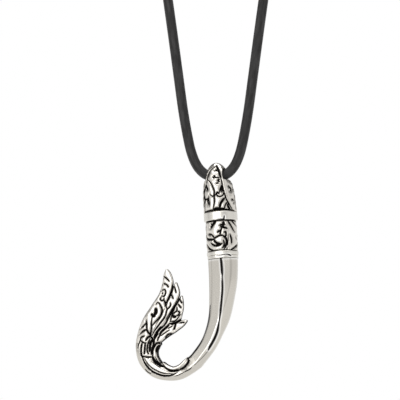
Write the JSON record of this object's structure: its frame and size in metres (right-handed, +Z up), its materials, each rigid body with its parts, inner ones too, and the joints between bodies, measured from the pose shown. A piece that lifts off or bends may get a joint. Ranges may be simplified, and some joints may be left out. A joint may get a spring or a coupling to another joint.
{
  "type": "hei matau pendant",
  "caption": "Fish-hook pendant of polished steel with scrolled bail and barrel and a feathered, carved curl, hung on a whole loop of round leather cord.",
  "frame": {"origin": "under the middle of the clasp, where the loop hangs", "axes": "+Z up, -Y the front of the pendant, the loop in the XZ plane with the hook's point towards -X"},
  "size_m": [0.055, 0.0122, 0.2654],
  "materials": {
    "leather_cord": "matte dyed",
    "polished_steel": "polished",
    "antiqued_steel": "cast, blackened in the recesses and polished on the raised lobes"
  },
  "bodies": {
    "loop": {"cord": "leather_cord", "clasp": "polished_steel"},
    "pendant": {"bail": "antiqued_steel", "upper_band": "polished_steel", "barrel": "antiqued_steel", "lower_band": "polished_steel", "shank": "polished_steel", "plume": "antiqued_steel"}
  },
  "joints": [
    {"name": "pendant_swing", "type": "hinge", "parent": "loop", "child": "pendant", "pos_m": [0, 0, -0.199], "axis": [1, 0, 0], "range_deg": [-60, 60]}
  ]
}
